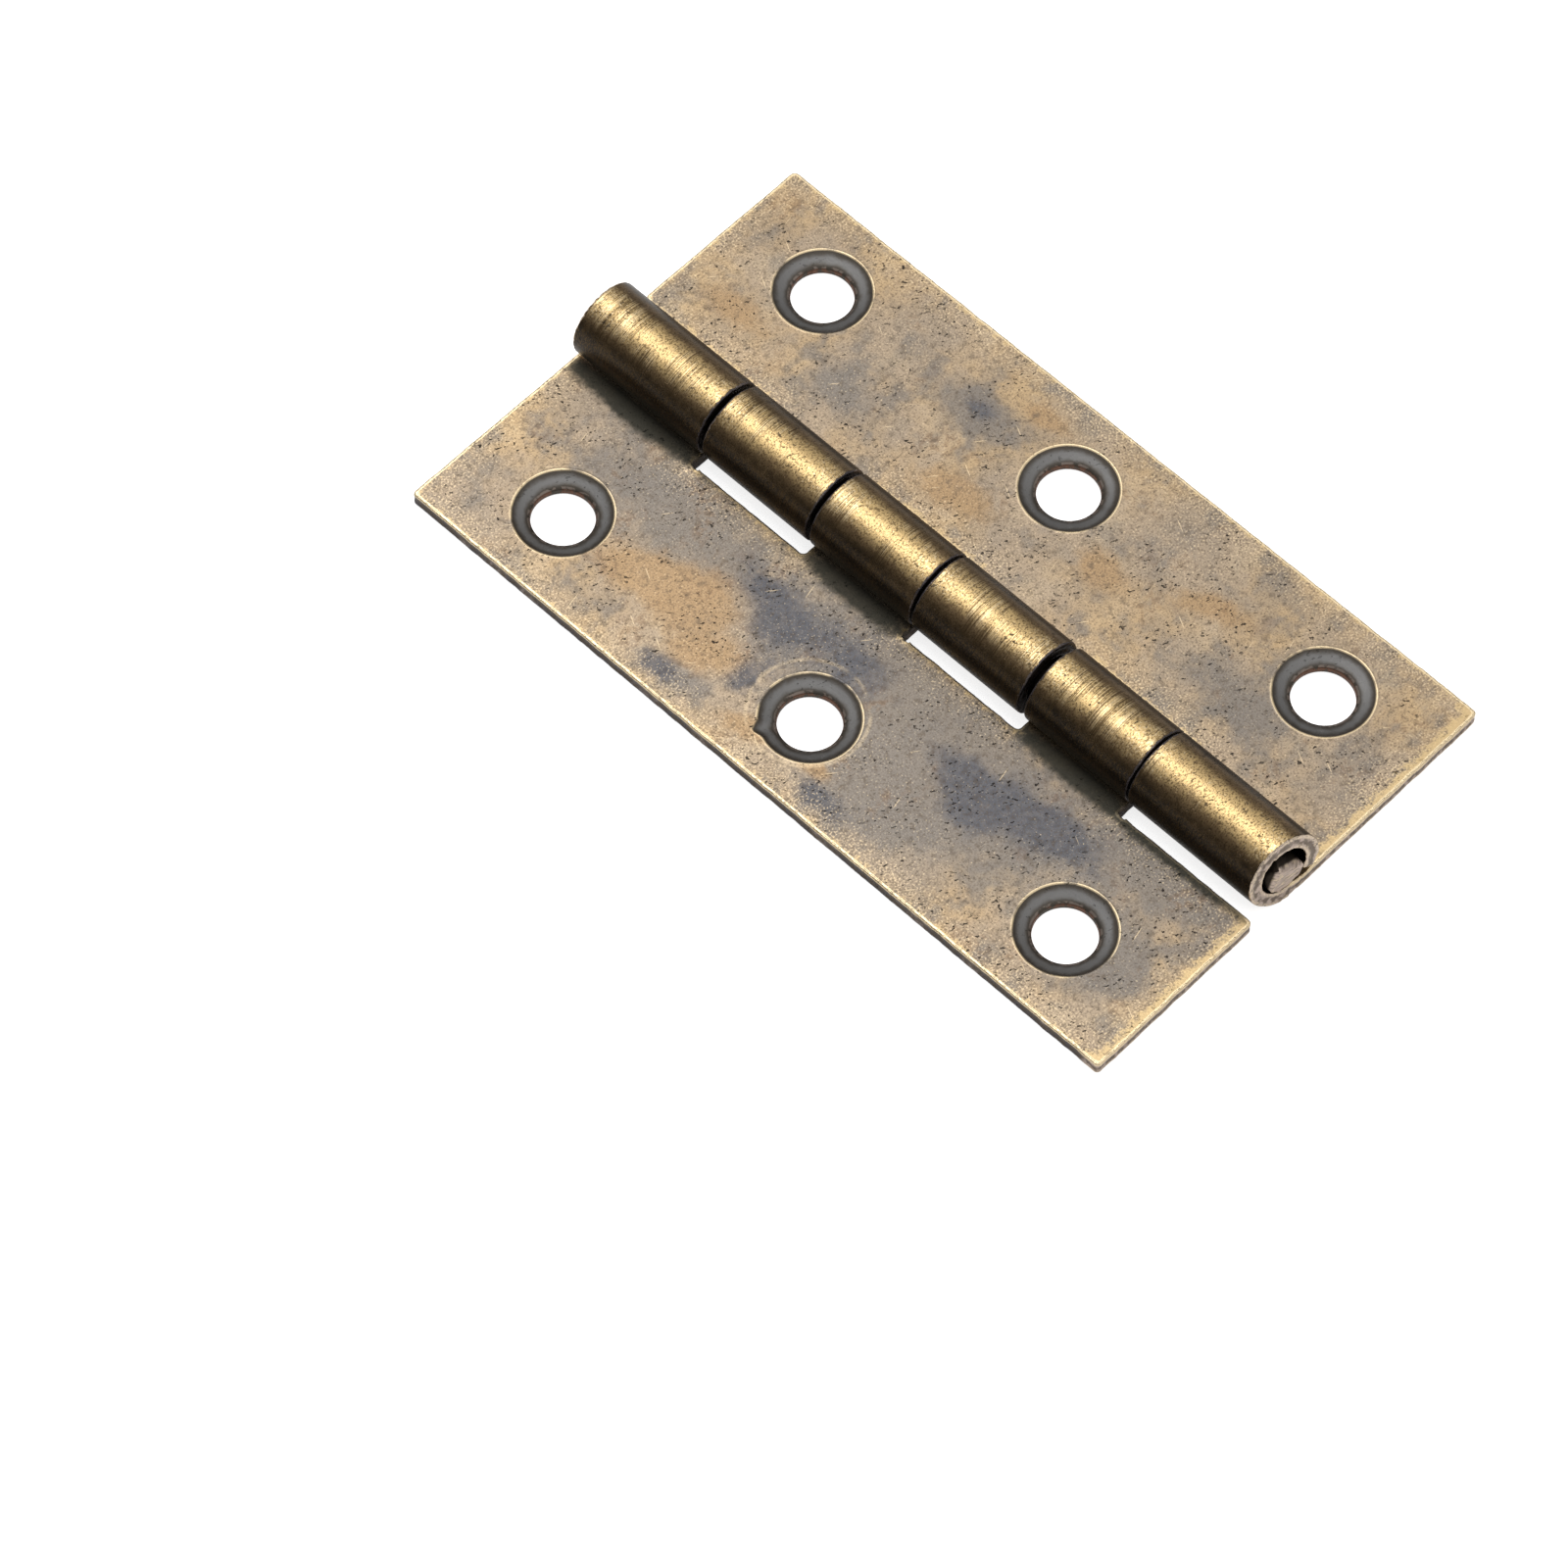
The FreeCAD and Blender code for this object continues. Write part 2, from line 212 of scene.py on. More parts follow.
def straight_run(start, end, spacing):
    """Points between start and end, without either: start plus an even share of the way."""
    steps = max(2, int(np.linalg.norm(end - start) / spacing))
    share = np.linspace(0, 1, steps, endpoint=False)[1:, None]
    return start + (end - start) * share


def outward(path):
    """The unit normal at each point of a closed path, to its right as it runs."""
    ahead = np.roll(path, -1, axis=0) - np.roll(path, 1, axis=0)
    normal = np.column_stack([ahead[:, 1], -ahead[:, 0]])
    return normal / np.linalg.norm(normal, axis=1, keepdims=True)


def inside(points, loop):
    """Which points lie inside a closed loop, by how often a level ray crosses its sides."""
    ahead = np.roll(loop, -1, axis=0)
    crossings = np.zeros(len(points), int)
    for (x0, y0), (x1, y1) in zip(loop, ahead):
        spans = (y0 > points[:, 1]) != (y1 > points[:, 1])
        if spans.any():
            where = x0 + (points[:, 1] - y0) / (y1 - y0) * (x1 - x0)
            crossings += spans & (points[:, 0] < where)
    return crossings % 2 == 1


def distance_to(points, loop):
    """The distance from each point to the nearest point of a densely drawn loop."""
    nearest = np.full(len(points), np.inf)
    for start in range(0, len(loop), 64):
        part = loop[start:start + 64]
        gap = np.hypot(points[:, None, 0] - part[None, :, 0], points[:, None, 1] - part[None, :, 1])
        nearest = np.minimum(nearest, gap.min(axis=1))
    return nearest


def triangulate(loops, lattice):
    """Triangles inside the first loop and outside the others, on the loops and the lattice."""
    points = np.concatenate([*loops, lattice])
    edges = []
    start = 0
    for loop in loops:
        here = np.arange(len(loop))
        edges.append(np.column_stack([here, np.roll(here, -1)]) + start)
        start += len(loop)
    found = delaunay_2d_cdt(list(map(Vector, points.tolist())), np.concatenate(edges).tolist(),
                            [], 0, 1e-7)
    where = np.array(list(map(tuple, found[0])))
    faces = np.array(found[2])
    middle = where[faces].mean(axis=1)
    keep = inside(middle, loops[0])
    for loop in loops[1:]:
        keep &= ~inside(middle, loop)
    faces = faces[keep]
    a, b, c = (where[faces[:, k]] for k in range(3))
    turning = (b[:, 0] - a[:, 0]) * (c[:, 1] - a[:, 1]) - (b[:, 1] - a[:, 1]) * (c[:, 0] - a[:, 0])
    faces[turning < 0] = faces[turning < 0][:, ::-1]
    return where, faces


class Surface:
    """Points in sheet coordinates (s, y, t) with faces, gathered patch by patch."""

    def __init__(self):
        self.points, self.faces, self.cuts = [], [], []
        self.count = 0

    def add(self, s, y, t, faces, cut):
        """Adds one patch. cut is 1 on the sheet's sheared edge and 0 everywhere else."""
        s, y, t = np.broadcast_arrays(s, y, t)
        self.points.append(np.column_stack([s.ravel(), y.ravel(), t.ravel()]))
        self.faces += (np.asarray(faces) + self.count).tolist()
        self.cuts.append(np.full(s.size, float(cut)))
        self.count += s.size

    def add_band(self, path, normal, profile, cut):
        """A profile of (inset, t) carried round a closed path: path less normal times inset."""
        profile = np.asarray(profile, float)
        rows, columns = len(profile), len(path)
        s = path[None, :, 0] - normal[None, :, 0] * profile[:, 0, None]
        y = path[None, :, 1] - normal[None, :, 1] * profile[:, 0, None]
        t = np.repeat(profile[:, 1], columns)
        index = np.arange(rows * columns).reshape(rows, columns)
        after = np.roll(index, -1, axis=1)
        faces = np.stack([index[1:], after[1:], after[:-1], index[:-1]], axis=-1)
        self.add(s.ravel(), y.ravel(), t, faces.reshape(-1, 4), cut)


def edge_profile():
    """(inset, t) over the rounded upper edge, down the cut and round to the lower side.

    Each rounding is a quarter circle: inset 1 - sin and drop 1 - cos, times its radius.
    """
    turn = np.linspace(0, np.pi / 2, 5)
    inset = EDGE_ROUND * (1 - np.sin(turn))
    drop = EDGE_ROUND * (1 - np.cos(turn)) / WALL
    upper = np.column_stack([inset, 1 - drop])
    cut = np.column_stack([[0.0, 0.03, 0.04, 0.03, 0.0], [0.76, 0.62, 0.5, 0.38, 0.24]])
    lower = np.column_stack([inset, drop])[::-1]
    return np.concatenate([upper, cut, lower])


def hole_profile():
    """(outset, t) down a countersunk hole, from a small raised lip at its rim to the underside."""
    cone = RIM_RADIUS - HOLE_RADIUS
    land = HOLE_LAND / WALL
    return np.array([
        (LIP_WIDTH, 1.0), (0.10, 1.012), (0.04, 1.006), (0.0, 0.985), (-0.05, 0.95),
        (-0.35 * cone, 1 - 0.37 * (1 - land)), (-0.7 * cone, 1 - 0.72 * (1 - land)),
        (-cone + 0.05, land + 0.04), (-cone + 0.01, land - 0.02), (-cone, land * 0.6),
        (-cone, land * 0.25), (-cone + 0.02, 0.04), (-cone + FOOT_WIDTH, 0.0)])


def leaf_outline(free, reach, spans, stepped):
    """The blank's outline in (s, y), with a tongue for each knuckle; also its corners and radii."""
    half = HALF_LENGTH
    corners = [(free, -half), (free, half), (reach, half)]
    radii = [CORNER_RADIUS, CORNER_RADIUS, RELIEF_ROUND]
    for low, high in spans:
        if stepped:
            corners += [(reach, high + STEP_LENGTH), (reach + STEP_DEPTH, high + STEP_LENGTH),
                        (reach + STEP_DEPTH, high)]
            radii += [STEP_ROUND, STEP_ROUND, STEP_ROUND]
        else:
            corners.append((reach, high))
            radii.append(RELIEF_ROUND)
        corners += [(-ROLL_ARC, high), (-ROLL_ARC, low)]
        radii += [ROLL_CORNER, ROLL_CORNER]
        if low > -half:
            corners.append((reach, low))
            radii.append(RELIEF_ROUND)
    return rounded_path(corners, radii, OUTLINE_SPACING), np.array(corners), np.array(radii)


def lattice_points(free):
    """Points of an even grid over the blank, closer together round the roll than on the flat."""
    flat = np.arange(0, free, FLAT_SPACING)
    roll = np.linspace(-ROLL_ARC, 0, ROLL_COLUMNS)[:-1]
    along = np.arange(-HALF_LENGTH + LENGTH_START, HALF_LENGTH, LENGTH_SPACING)
    s, y = np.meshgrid(np.concatenate([roll, flat]), along)
    return np.column_stack([s.ravel(), y.ravel()])


def nicked(sheet, centre):
    """Pushes the rim outwards over a narrow wedge of the circle, down to nothing at the cone's foot
    and one and a half millimetres outside the rim."""
    s, y = sheet[:, 0] - centre[0], sheet[:, 1] - centre[1]
    radius = np.hypot(s, y)
    off = np.abs(np.angle(np.exp(1j * (np.arctan2(y, s) - NICK_WAY))))
    push = NICK_DEPTH * np.clip(1 - off / NICK_HALF_ANGLE, 0, 1)
    share = np.interp(radius, [HOLE_RADIUS, RIM_RADIUS, RIM_RADIUS + 1.5], [0, 1, 0])
    share *= sheet[:, 2] > 0.5
    grown = sheet.copy()
    grown[:, 0] += s / radius * push * share
    grown[:, 1] += y / radius * push * share
    return grown


def leaf_sheet(free, reach, holes_at, spans, turned):
    """The blank in sheet coordinates: its two sides, its sheared edge and its three holes."""
    outline, corners, radii = leaf_outline(free, reach, spans, stepped=turned)
    normal = outward(outline)

    # Near the steps' tight corners the edge's rounding is narrower, so that it doesn't cross itself
    tight = corners[radii == STEP_ROUND]
    if len(tight):
        nearness = [STEP_ROUND, 3 * STEP_ROUND]
        share = np.interp(distance_to(outline, tight), nearness, [TIGHT_INSET, 1])
        normal = normal * share[:, None]
    wobble = EDGE_WAVE * waves(outline[:, 0], outline[:, 1], 2.3, 11 + turned)
    wobble += EDGE_TREMOR * waves(outline[:, 0], outline[:, 1], 0.7, 13 + turned)
    outline = outline + normal * (wobble - EDGE_SET_BACK)[:, None]
    angle = np.linspace(0, 2 * np.pi, HOLE_POINTS, endpoint=False)
    ring = np.column_stack([np.cos(angle), -np.sin(angle)])
    centres = [np.array([holes_at, k * HOLE_PITCH]) for k in (-1, 0, 1)]

    grid = lattice_points(free)
    grid = grid[inside(grid, outline)]
    grid = grid[distance_to(grid, outline) > EDGE_ROUND + SUPPORT + EDGE_CLEARANCE]

    surface = Surface()
    for t, hole_edge in ((1.0, RIM_RADIUS + LIP_WIDTH), (0.0, HOLE_RADIUS + FOOT_WIDTH)):
        loops = [outline - normal * EDGE_ROUND]
        supports = [outline - normal * (EDGE_ROUND + SUPPORT)]
        clear = np.ones(len(grid), bool)
        for centre in centres:
            loops.append(centre + ring * hole_edge)
            supports.append(centre + ring * (hole_edge + SUPPORT))
            clear &= np.hypot(*(grid - centre).T) > hole_edge + SUPPORT + HOLE_CLEARANCE
        where, faces = triangulate(loops, np.concatenate([*supports, grid[clear]]))
        surface.add(where[:, 0], where[:, 1], t, faces if t else faces[:, ::-1], 0)
    surface.add_band(outline, normal, edge_profile(), 1)
    for centre in centres:
        surface.add_band(centre + ring * RIM_RADIUS, ring, hole_profile() * [-1, 1], 0)
    return surface, outline, centres


def to_space(sheet, turned):
    """Sheet coordinates to millimetres in the hinge's own frame.

    The upper side carries a faint ripple. Round the roll, the cut at the barrel's two ends is
    ragged, and the end at -Y leans, set back by a share of height less a share of x.
    """
    s, y, t = sheet.T
    ripple = RIPPLE * waves(s, y, 9.0, 31 + turned)
    ripple = ripple + FINE_RIPPLE * waves(s, y, 2.2, 41 + turned)
    x, z = section(s, t + np.where(s > 0, t * ripple / WALL, 0))
    at_end = np.clip(1 - (HALF_LENGTH - np.abs(y)) / RAG_REACH, 0, 1) * (s < RAG_SPAN)
    rough = 0.5 + 0.5 * waves(x, z, 0.55, 61 + turned)
    y = y - np.sign(y) * at_end * RAG_DEPTH * np.clip(rough, 0, 2)
    if not turned:
        recess = np.maximum(0, LEAN_BY_HEIGHT * z - LEAN_BY_WIDTH * x)
        y = y + recess * np.clip(1 - (y + HALF_LENGTH) / LEAN_REACH, 0, 1)
    else:
        for face in UPPER_FACES[::2]:
            burr = np.hypot(s - LEFT_REACH - BURR_OUT, y + face - BURR_ALONG) / BURR_WIDTH
            z = z + BURR_HEIGHT * np.exp(-burr ** 2) * (t > 0.7)
        x, y = -x, -y
    return np.column_stack([x + AXIS_X, y, z])


def build_object(name, points, faces, fields):
    """A smooth mesh object from points in millimetres, its doubles merged, with point fields."""
    mesh = bpy.data.meshes.new(name)
    mesh.from_pydata((points * MM).tolist(), [], faces)
    for key, values in fields.items():
        layer = mesh.attributes.new(key, "FLOAT", "POINT")
        layer.data.foreach_set("value", values.astype(np.float32))
    work = bmesh.new()
    work.from_mesh(mesh)
    bmesh.ops.remove_doubles(work, verts=work.verts, dist=MERGE_METRES)
    work.to_mesh(mesh)
    work.free()
    mesh.polygons.foreach_set("use_smooth", np.ones(len(mesh.polygons), bool))
    mesh.update()
    piece = bpy.data.objects.new(name, mesh)
    bpy.context.scene.collection.objects.link(piece)
    return piece


def blobs(places, x, y):
    """A soft patch at each (x, y, half width, half length, turn): exp of minus distance squared."""
    total = np.zeros(len(x))
    for across, along, wide, long, turn in places:
        a, b = x - across, y - along
        c, d = np.cos(np.radians(turn)), np.sin(np.radians(turn))
        total += np.exp(-((a * c + b * d) / wide) ** 2 - ((b * c - a * d) / long) ** 2)
    return np.clip(total, 0, 1)


def make_leaf(name, free, reach, holes_at, spans, turned, stains_and_shade):
    """One leaf as a mesh object, with the fields that its finish reads."""
    surface, outline, centres = leaf_sheet(free, reach, holes_at, spans, turned)
    sheet = np.concatenate(surface.points)
    cuts = np.concatenate(surface.cuts)
    from_centre = [np.hypot(sheet[:, 0] - c[0], sheet[:, 1] - c[1]) for c in centres]
    fields = {
        "edge_gap": np.where(cuts == 1, 0.0, distance_to(sheet[:, :2], outline)),
        "rim_gap": np.min(from_centre, axis=0) - RIM_RADIUS,
        "along_sheet": sheet[:, 0],
        "depth": sheet[:, 2],
        "cut": (cuts == 1).astype(float),
    }
    if turned:
        sheet = nicked(sheet, centres[1])
    points = to_space(sheet, turned)
    for key, places in stains_and_shade.items():
        fields[key] = blobs(places, points[:, 0], points[:, 1]) * (sheet[:, 2] > 0.5)
    return build_object(name, points, surface.faces, fields)


def make_pin():
    """The wire: a round surface along Y, closed by ends cropped to an uneven wedge.

    An end's ring at a share of the radius is set back by the largest of (offset - up) times the
    long facet's slope, (up - offset) times the short one's, and the same for a facet at the side.
    Up is x sin + z cos of the way that the ridge lies, and aside is z sin - x cos of the other's.
    The whole face leans by a share of x, and its rim and the shoulder behind it are set back more.
    """
    angle = np.linspace(0, 2 * np.pi, WIRE_POINTS, endpoint=False)
    share = np.append(np.linspace(0, 1, WIRE_RINGS)[1:], 1.0)[:, None]
    x, z = share * WIRE_RADIUS * np.cos(angle), share * WIRE_RADIUS * np.sin(angle)
    way = np.radians(RIDGE_TURN)
    up = x * np.sin(way) + z * np.cos(way)
    recess = np.maximum((RIDGE_OFFSET - up) * np.tan(np.radians(RIDGE_SLOPE)),
                        (up - RIDGE_OFFSET) * np.tan(np.radians(RIDGE_FALL)))
    aside = z * np.sin(SIDE_TURN) - x * np.cos(SIDE_TURN)
    recess = np.maximum(recess, (aside - SIDE_OFFSET) * np.tan(np.radians(RIDGE_FALL)))
    recess = recess + FACE_LEAN * (WIRE_RADIUS - x) + FACE_BREAK * (share == 1)
    recess = np.maximum(recess + FACE_TEAR * np.clip(waves(x, z, 0.8, 5), -0.5, 2), 0)
    recess[-1] += FACE_SHOULDER
    tips = []
    for end in (-1, 1):
        ring = np.stack([x + AXIS_X, end * (PIN_END - recess), z + WIRE_HEIGHT], axis=-1)
        tips.append(ring[::-end])
    rows = np.concatenate(tips)
    index = np.arange(rows.shape[0] * rows.shape[1]).reshape(rows.shape[:2])
    after = np.roll(index, -1, axis=1)
    faces = np.stack([index[1:], after[1:], after[:-1], index[:-1]], axis=-1)
    faces = faces.reshape(-1, 4).tolist()
    faces.append(index[0].tolist())
    faces.append(index[-1][::-1].tolist())
    # The set-back share that the finish paints as shade, with the shoulder fully shaded
    shaded = recess.copy()
    shaded[-1] = 1.0
    setback_shade = np.concatenate([shaded, shaded[::-1]]).ravel()
    return build_object("pin_wire", rows.reshape(-1, 3), faces, {"setback_shade": setback_shade})


right_spans = [(UPPER_FACES[1], LOWER_FACES[0]), (UPPER_FACES[3], LOWER_FACES[2]),
               (-HALF_LENGTH, LOWER_FACES[4])]
left_spans = [(-LOWER_FACES[3], -UPPER_FACES[4]), (-LOWER_FACES[1], -UPPER_FACES[2]),
              (-HALF_LENGTH, -UPPER_FACES[0])]

# Stains as (x, y, half width, half length, turn in degrees); the grime patches along the barrel's
# foot carry painted shadow too
left_stains_and_shade = {
    "copper": [(-11.6, 12.2, 2.6, 4.2, 20), (-14.4, 8.6, 1.6, 3.2, 30), (-12.6, 16.5, 1.6, 3.0, 10),
               (-16.4, 2.6, 1.0, 2.4, 15), (-15.5, -2.8, 0.8, 2.0, 0)],
    "blue": [(-7.4, 9.2, 1.4, 2.2, 0), (-8.9, 6.2, 2.0, 2.6, 30), (-13.3, 5.2, 1.2, 1.8, 70),
             (-17.0, 10.4, 1.0, 2.2, 10), (-7.8, 1.2, 1.9, 3.2, 0), (-9.0, -11.0, 1.4, 2.5, -10),
             (-8.9, -14.2, 1.9, 3.8, 10), (-7.9, -18.5, 1.5, 3.2, 0), (-17.0, -4.6, 1.0, 2.6, 0),
             (-10.6, -12.4, 1.8, 1.6, 0)],
    "dull": [(-7.2, 19.0, 4.0, 8.0, 0), (-8.0, 1.5, 4.2, 10.0, 0), (-9.0, -13.0, 5.5, 12.0, 0),
             (-11.0, -8.0, 3.5, 5.0, 0), (-12.5, -26.5, 3.0, 3.5, 0),
             (-16.6, 8.5, 1.2, 3.2, 0), (-15.6, -7.0, 2.4, 4.5, 0), (-5.5, -26.0, 2.0, 6.0, 0)],
    "grime_and_shade": [(-3.6, 26.2, 0.95, 8.2, 0), (-3.6, 4.7, 1.0, 5.6, 0), (-3.6, -15.2, 0.95, 5.6, 0),
              (-3.9, -26.0, 0.65, 6.5, 0)],
}
right_stains_and_shade = {
    "copper": [(7.0, 5.5, 1.6, 3.6, 10), (9.5, -6.0, 1.4, 2.4, 0), (7.5, 26.5, 1.2, 3.0, 0),
               (16.0, 5.0, 1.0, 2.4, 0), (12.5, -13.5, 1.3, 3.2, 20)],
    "blue": [(13.3, 8.8, 0.65, 1.1, 5)],
    "dull": [(13.0, 9.0, 2.2, 4.0, 0), (8.0, 17.0, 2.0, 3.0, 0), (8.5, -20.0, 2.6, 5.0, 0)],
    "grime_and_shade": [(3.3, 0.0, 0.35, 33.0, 0)],
}
left = make_leaf("left_leaf_sheet", LEFT_FREE, LEFT_REACH, LEFT_HOLES, left_spans, True,
                 left_stains_and_shade)
right = make_leaf("right_leaf_sheet", RIGHT_FREE, RIGHT_REACH, RIGHT_HOLES, right_spans, False,
                  right_stains_and_shade)
pin = make_pin()
for piece, node, body, slot in ((left, "left_leaf", "fixed_leaf", "left_leaf_plating"),
                                (right, "right_leaf", "swinging_leaf", "right_leaf_plating"),
                                (pin, "hinge_pin", "fixed_leaf", "pin_steel")):
    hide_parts(node)
    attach(piece, body)
    print(piece.name, "faces", len(piece.data.polygons))


class Finish:
    """A node material in the making: each step returns the socket that the next one reads."""

    def __init__(self, name):
        self.material = bpy.data.materials.new(name)
        self.material.use_nodes = True
        self.tree = self.material.node_tree
        self.shader = self.tree.nodes["Principled BSDF"]
        self.place = self.node("TexCoord").outputs["Object"]

    def node(self, kind, feeds=None, **settings):
        made = self.tree.nodes.new("ShaderNode" + kind)
        for key, value in settings.items():
            setattr(made, key, value)
        for key, value in (feeds or {}).items():
            self.feed(made.inputs[key], value)
        return made

    def feed(self, socket, value):
        if isinstance(value, bpy.types.NodeSocket):
            self.tree.links.new(value, socket)
        else:
            socket.default_value = value

    def field(self, name):
        """A number stored at the mesh's points."""
        return self.node("Attribute", attribute_name=name).outputs["Fac"]

    def math(self, operation, a, b=0.0):
        return self.node("Math", {0: a, 1: b}, operation=operation).outputs[0]

    def step(self, value, low, high):
        """0 up to low, 1 from high on, and a smooth slope between; low may be the larger."""
        return self.node("MapRange", {"Value": value, "From Min": low, "From Max": high},
                         interpolation_type="SMOOTHSTEP").outputs["Result"]

    def stretched(self, size, turn, seed):
        """Object coordinates, moved by a seed and divided by a size in millimetres."""
        size = size if isinstance(size, tuple) else (size, size, size)
        return self.node("Mapping", {"Vector": self.place, "Rotation": (0, 0, np.radians(turn)),
                                     "Location": (0.137 * seed, -0.091 * seed, 0.053 * seed),
                                     "Scale": tuple(MM * k for k in size)},
                         vector_type="TEXTURE").outputs["Vector"]

    def noise(self, size, detail=2.0, seed=0.0, turn=0.0):
        """Cloudy noise between 0 and 1, about a half, with features of the given size."""
        return self.node("TexNoise", {"Vector": self.stretched(size, turn, seed), "Scale": 1.0,
                                      "Detail": detail}).outputs["Fac"]

    def spots(self, spacing, radius, share, turn=0.0, seed=0.0):
        """Scattered spots: 1 within a radius of random points, of which only a share are kept."""
        place = self.stretched(spacing, turn, seed)
        cells = self.node("TexVoronoi", {"Vector": place, "Scale": 1.0})
        chosen = self.math("LESS_THAN", cells.outputs["Color"], share)
        near = self.step(cells.outputs["Distance"], radius, radius * 0.5)
        return self.math("MULTIPLY", near, chosen)

    def paint(self, under, colour, cover):
        """One colour over another, by how far it covers."""
        mixed = self.node("Mix", {0: cover, 6: under, 7: colour}, data_type="RGBA")
        return mixed.outputs[2]

    def both(self, *masks):
        total = masks[0]
        for mask in masks[1:]:
            total = self.math("MULTIPLY", total, mask)
        return total

    def weigh(self, start, *terms):
        """A sum of masks times weights."""
        total = start
        for mask, weight in terms:
            total = self.math("ADD", self.math("MULTIPLY", mask, weight), total)
        return total


def shade(red, green, blue):
    return (red, green, blue, 1.0)


TAUPE = shade(0.375, 0.292, 0.208)
WARM = shade(0.455, 0.325, 0.188)
GREY = shade(0.205, 0.183, 0.162)
UMBER = shade(0.12, 0.092, 0.066)
CREAM = shade(0.76, 0.60, 0.385)
COPPER = shade(0.375, 0.25, 0.138)
RUST = shade(0.27, 0.15, 0.075)
BLUE = shade(0.095, 0.102, 0.122)
GOLD = shade(0.62, 0.455, 0.235)
BRIGHT_GOLD = shade(0.92, 0.74, 0.47)
PIT = shade(0.04, 0.034, 0.03)
SIDE = shade(0.10, 0.088, 0.092)
PINK_GREY = shade(0.46, 0.37, 0.32)
LIP = shade(0.78, 0.64, 0.48)
END_GREY = shade(0.62, 0.50, 0.42)
CONE = shade(0.095, 0.082, 0.068)
CONE_GREY = shade(0.20, 0.195, 0.19)
HOLE_WALL = shade(0.17, 0.085, 0.055)
# Grime, and painted shadow along the barrel's foot
GRIME_AND_SHADE = shade(0.06, 0.058, 0.046)
# The roll's nearly black painted shade, on its sides and on the wire's shadowed facet
ROLL_SHADE = shade(0.045, 0.036, 0.028)
ROLL_BROWN = shade(0.24, 0.16, 0.085)
ROLL_GOLD = shade(0.60, 0.425, 0.20)
ROLL_LINE = shade(0.11, 0.072, 0.035)


def leaf_finish(name, seed, halo=None):
    """Antique bronze plating: rubbed on the flats and the top of the roll, dark in the recesses,
    with painted shade on the roll's sides, painted shadow along its foot and a painted highlight on
    the outer edges.
    """
    f = Finish(name)
    edge, rim = f.field("edge_gap"), f.field("rim_gap")
    along, depth, cut = f.field("along_sheet"), f.field("depth"), f.field("cut")
    copper, blue = f.field("copper"), f.field("blue")
    dull, grime_and_shade = f.field("dull"), f.field("grime_and_shade")
    where = f.node("SeparateXYZ", {0: f.place}).outputs

    broad = f.noise(8.0, 3.0, seed)
    mottle = f.noise(2.0, 4.0, seed + 1)
    fine = f.noise(0.5, 3.0, seed + 2)
    grain = f.noise(0.15, 1.0, seed + 3)
    streak = f.noise((2.6, 0.3, 2.6), 3.0, seed + 4, turn=35)

    # The flat's own tone, cloudy at several sizes
    colour = f.paint(TAUPE, WARM, f.step(f.weigh(0.0, (broad, 0.65), (mottle, 0.35)), 0.42, 0.60))
    patches = f.noise(4.2, 5.0, seed + 13)
    colour = f.paint(colour, GREY, f.math("MULTIPLY", f.step(mottle, 0.44, 0.70), 0.75))
    colour = f.paint(colour, GREY, f.math("MULTIPLY", f.step(patches, 0.50, 0.62), 0.26))
    colour = f.paint(colour, CREAM, f.math("MULTIPLY", f.step(patches, 0.46, 0.36), 0.11))
    torn_edge = f.noise(1.1, 4.0, seed + 12)
    ragged = f.weigh(-1.2, (broad, 0.4), (mottle, 0.8), (torn_edge, 0.7), (fine, 0.3),
                     (streak, 0.2))
    copper_cover = f.step(f.math("ADD", copper, ragged), 0.12, 0.85)
    blue_cover = f.both(f.step(f.math("ADD", blue, ragged), 0.08, 0.95), f.weigh(0.45, (fine, 1.0)))
    dull_cover = f.step(f.math("ADD", dull, ragged), 0.0, 0.9)
    colour = f.paint(colour, GREY, f.math("MULTIPLY", dull_cover, 0.9))
    colour = f.paint(colour, COPPER, f.math("MULTIPLY", copper_cover, 0.9))
    rust = f.both(f.step(f.noise(3.2, 4.0, seed + 9), 0.56, 0.68), f.step(fine, 0.42, 0.60))
    colour = f.paint(colour, RUST, f.math("MULTIPLY", rust, 0.30))
    colour = f.paint(colour, BLUE, f.math("MULTIPLY", blue_cover, 0.85))
    if halo:
        colour = f.paint(colour, CREAM, halo_ring(f, halo, mottle))

    # Grain, golden flecks, scratches and pits
    colour = f.paint(colour, UMBER, f.math("MULTIPLY", f.step(fine, 0.50, 0.74), 0.5))
    colour = f.paint(colour, UMBER, f.math("MULTIPLY", f.step(grain, 0.48, 0.72), 0.55))
    near_edge = f.step(edge, 3.5, 0.2)
    flecks = f.step(f.weigh(0.0, (grain, -1.0), (near_edge, 0.12), (broad, -0.2)), -0.47, -0.30)
    colour = f.paint(colour, CREAM, f.math("MULTIPLY", flecks, 0.6))
    scratches = f.math("MAXIMUM", f.spots((7.0, 0.5, 3.0), 0.10, 0.4, turn=62, seed=seed),
                       f.spots((6.0, 0.5, 3.0), 0.10, 0.4, turn=-38, seed=seed + 2))
    scratches = f.math("MAXIMUM", scratches,
                       f.spots((9.0, 0.6, 3.0), 0.09, 0.4, turn=12, seed=seed))
    colour = f.paint(colour, CREAM, f.math("MULTIPLY", scratches, 0.5))
    flaws = f.noise((0.34, 0.22, 0.34), 2.0, seed + 7, turn=-30)
    pits = f.both(f.step(flaws, 0.635, 0.68), f.step(f.noise(2.6, 3.0, seed + 10), 0.42, 0.58))
    colour = f.paint(colour, PIT, f.math("MULTIPLY", pits, 0.9))

    # The rubbed border, strongest along the end at -Y
    at_low_end = f.step(where["Y"], -0.0300, -0.0312)
    rubbing = f.weigh(0.0, (edge, 1.0), (fine, 1.5), (grain, 0.8), (mottle, 0.6),
                      (at_low_end, -0.5))
    worn = f.step(rubbing, 1.95, 1.35)
    colour = f.paint(colour, GOLD, f.math("MULTIPLY", worn, 0.8))
